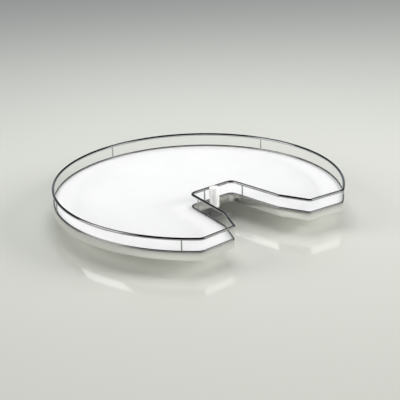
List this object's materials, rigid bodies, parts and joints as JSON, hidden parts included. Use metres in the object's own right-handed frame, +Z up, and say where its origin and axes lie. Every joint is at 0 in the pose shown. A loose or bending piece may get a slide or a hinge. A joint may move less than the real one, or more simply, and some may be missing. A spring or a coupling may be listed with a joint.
{
  "type": "corner carousel tray",
  "caption": "Round white shelf tray with a flared front slot, bright edge band, gallery rail on thin posts, and a ball turntable under it that lets it spin.",
  "frame": {"origin": "on the turning axis, at the underside of the base plate", "axes": "+Z up along the turning axis; the slot opens towards -Y; +X to the right seen from the slot's side"},
  "size_m": [0.82, 0.7329, 0.1038],
  "materials": {
    "board_white": "white faced chipboard, satin",
    "polished_band": "polished strip",
    "chrome": "polished chrome plate",
    "moulded_white": "white moulding, semi-gloss",
    "zinc_plate": "bright zinc plate",
    "cast_grey": "die-cast, satin",
    "bearing_steel": "ground steel",
    "cage_polymer": "dark moulding",
    "pale_paint": "pale powder coat, fine texture"
  },
  "bodies": {
    "base": {"base_plate": "pale_paint", "spindle": "zinc_plate", "lower_race": "bearing_steel", "retaining_washer": "zinc_plate", "lock_nut": "zinc_plate"},
    "cage": {"ball_cage": "cage_polymer", "ball_1": "bearing_steel", "ball_2": "bearing_steel", "ball_3": "bearing_steel", "ball_4": "bearing_steel", "ball_5": "bearing_steel", "ball_6": "bearing_steel", "ball_7": "bearing_steel", "ball_8": "bearing_steel", "ball_9": "bearing_steel", "ball_10": "bearing_steel", "ball_11": "bearing_steel", "ball_12": "bearing_steel"},
    "tray": {"tray_board": "board_white", "edge_band": "polished_band", "foot_rail": "chrome", "top_rail": "chrome", "rail_post_1": "chrome", "rail_post_2": "chrome", "rail_post_3": "chrome", "rail_post_4": "chrome", "rail_post_5": "chrome", "rail_post_6": "chrome", "rail_post_7": "chrome", "rail_post_8": "chrome", "rail_post_9": "chrome", "slot_post": "moulded_white", "slot_post_cap": "moulded_white", "slot_post_plug": "moulded_white", "slot_post_screw": "zinc_plate", "board_clip_1": "zinc_plate", "board_clip_2": "zinc_plate", "board_clip_3": "zinc_plate", "board_clip_4": "zinc_plate", "board_clip_5": "zinc_plate", "board_clip_6": "zinc_plate", "board_clip_7": "zinc_plate", "board_clip_8": "zinc_plate", "clip_screw_1": "zinc_plate", "clip_screw_2": "zinc_plate", "clip_screw_3": "zinc_plate", "clip_screw_4": "zinc_plate", "clip_screw_5": "zinc_plate", "clip_screw_6": "zinc_plate", "clip_screw_7": "zinc_plate", "clip_screw_8": "zinc_plate", "flange_screw_1": "zinc_plate", "flange_screw_2": "zinc_plate", "flange_screw_3": "zinc_plate", "flange_screw_4": "zinc_plate", "flange_screw_5": "zinc_plate", "flange_screw_6": "zinc_plate", "hub": "cast_grey", "upper_race": "bearing_steel", "hub_bush": "cage_polymer"}
  },
  "joints": [
    {"name": "tray_spin", "type": "hinge", "parent": "base", "child": "tray", "pos_m": [0, 0, 0.03], "axis": [0, 0, 1], "continuous": true},
    {"name": "cage_spin", "type": "hinge", "parent": "base", "child": "cage", "pos_m": [0, 0, 0.011], "axis": [0, 0, 1], "continuous": true}
  ],
  "couplings": [
    {"joint": "cage_spin", "follows": "tray_spin", "ratio": 0.5}
  ]
}
